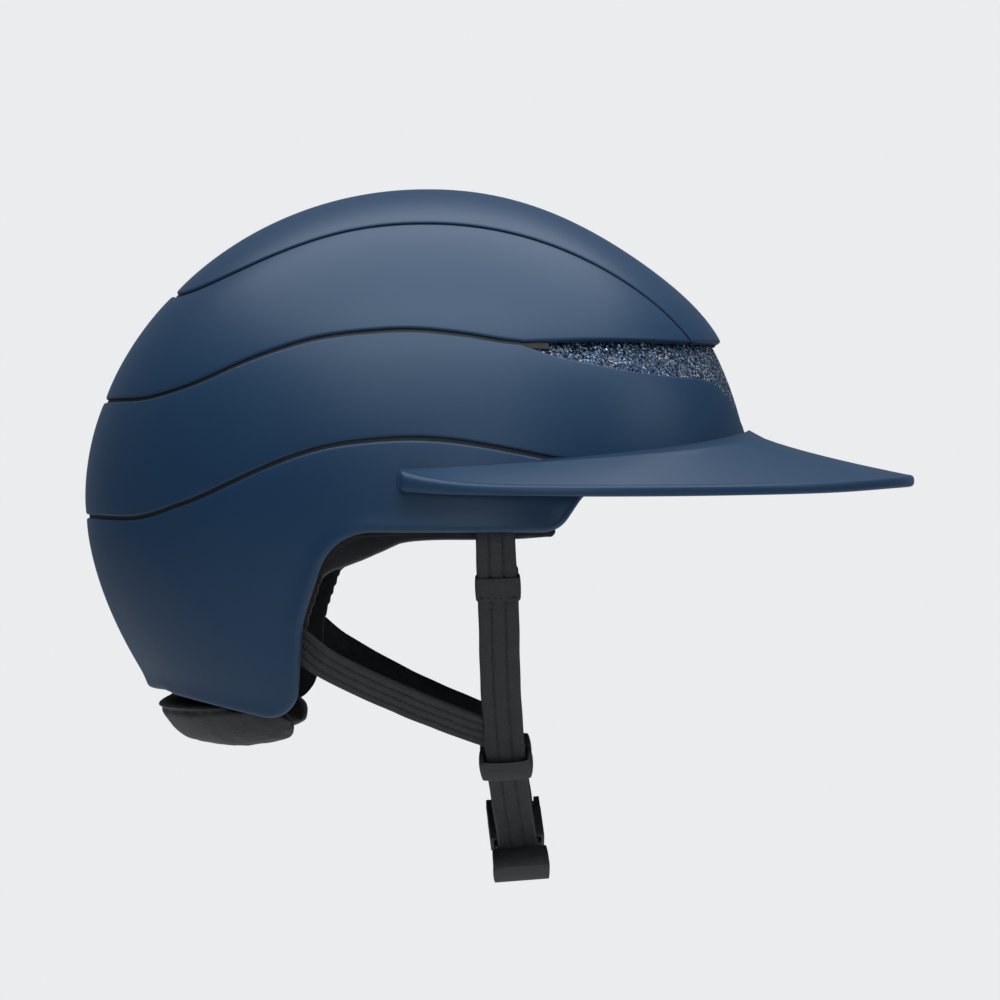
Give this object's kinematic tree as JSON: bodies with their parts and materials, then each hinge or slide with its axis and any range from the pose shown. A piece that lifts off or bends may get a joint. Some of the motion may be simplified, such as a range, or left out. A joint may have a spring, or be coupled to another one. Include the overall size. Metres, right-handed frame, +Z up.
{
  "type": "riding helmet",
  "caption": "Riding helmet with a wide brim, layered shell panels, a glitter front band, foam liner, pads and a buckled chin harness.",
  "frame": {"origin": "centre of the head opening: on the centre plane, midway along the shell, level with the brow rim", "axes": "+X forwards towards the brim's tip, +Y to the wearer's left, +Z up"},
  "size_m": [0.3388, 0.236, 0.282],
  "materials": {
    "blue_shell": "matte navy",
    "black_shell": "matte",
    "glitter": "glitter",
    "foam": "matte expanded foam",
    "pad_cloth": "brushed cloth",
    "hook_tape": "hook tape",
    "black_leather": "matte grained",
    "webbing": "woven",
    "black_plastic": "satin",
    "steel": "satin"
  },
  "bodies": {
    "helmet": {"base_shell": "black_shell", "crown_panel": "blue_shell", "upper_panel": "blue_shell", "middle_panel": "blue_shell", "lower_shell": "blue_shell", "front_inlay": "glitter", "visor": "blue_shell", "impact_liner": "foam", "crown_pad": "pad_cloth", "brow_pad": "pad_cloth", "side_pad_left": "pad_cloth", "side_pad_right": "pad_cloth", "hook_patches": "hook_tape", "nape_pad": "black_leather", "ear_lining_left": "black_leather", "ear_lining_right": "black_leather", "anchor_rivets": "steel", "front_hanger_left": "webbing", "front_hanger_right": "webbing", "rear_hanger_left": "webbing", "rear_hanger_right": "webbing"},
    "left_harness": {"front_strap_left": "black_leather", "rear_strap_left": "black_leather", "strap_collar_left": "black_leather", "buckle_socket": "black_plastic"},
    "right_harness": {"front_strap_right": "black_leather", "rear_strap_right": "black_leather", "strap_collar_right": "black_leather", "buckle_plug": "black_plastic"},
    "left_divider": {"divider_left": "black_plastic"},
    "right_divider": {"divider_right": "black_plastic"},
    "front_prong": {"buckle_prong_front": "black_plastic"},
    "rear_prong": {"buckle_prong_rear": "black_plastic"}
  },
  "joints": [
    {"name": "left_swing", "type": "hinge", "parent": "helmet", "child": "left_harness", "pos_m": [0.0334, 0.097, -0.0158], "axis": [0.811, 0.1779, 0.5573], "range_deg": [0, 80], "deforming": ["buckle_prong_front", "buckle_prong_rear"]},
    {"name": "right_swing", "type": "hinge", "parent": "helmet", "child": "right_harness", "pos_m": [0.0334, -0.097, -0.0158], "axis": [-0.811, 0.1779, -0.5573], "range_deg": [0, 80], "deforming": ["buckle_prong_front", "buckle_prong_rear"]},
    {"name": "left_divider_slide", "type": "slide", "parent": "left_harness", "child": "left_divider", "axis": [0.098, -0.7617, -0.6405], "range_m": [0, 0.004]},
    {"name": "right_divider_slide", "type": "slide", "parent": "right_harness", "child": "right_divider", "axis": [0.096, 0.714, -0.6935], "range_m": [0, 0.009]},
    {"name": "front_prong_squeeze", "type": "hinge", "parent": "right_harness", "child": "front_prong", "pos_m": [0.05, 0.00461, -0.14177], "axis": [0, -0.7147, 0.6994], "range_deg": [0, 8], "stiffness_Nm_per_rad": 0.02},
    {"name": "rear_prong_squeeze", "type": "hinge", "parent": "right_harness", "child": "rear_prong", "pos_m": [0.03378, 0.00348, -0.14292], "axis": [0, -0.7147, 0.6994], "range_deg": [-8, 0], "stiffness_Nm_per_rad": 0.02}
  ],
  "couplings": [
    {"joint": "rear_prong_squeeze", "follows": "front_prong_squeeze", "ratio": -1}
  ]
}
